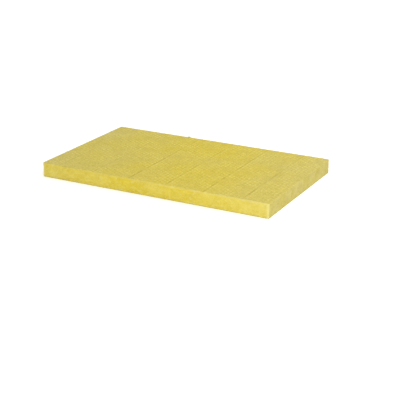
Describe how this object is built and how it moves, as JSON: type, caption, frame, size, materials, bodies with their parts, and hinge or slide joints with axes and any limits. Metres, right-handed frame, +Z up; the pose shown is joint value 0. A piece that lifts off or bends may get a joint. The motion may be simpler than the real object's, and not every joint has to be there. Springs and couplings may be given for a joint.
{
  "type": "basalt wool slab",
  "caption": "Rectangular slab of pressed yellow stone wool for heat, sound and fire insulation, with cut edges, soft corners and shallow cross-wise slat marks on its upper face.",
  "frame": {"origin": "centre of the underside, where the slab lies on the floor", "axes": "+X along the 1000 mm length, +Y across the 600 mm width, +Z up through the 60 mm thickness"},
  "size_m": [1, 0.6, 0.06],
  "materials": {
    "stone_wool": "matt pale-yellow fibre, pressed on the two large faces and cut on the four narrow ones"
  },
  "bodies": {
    "root": {"wool_slab": "stone_wool"}
  },
  "joints": []
}
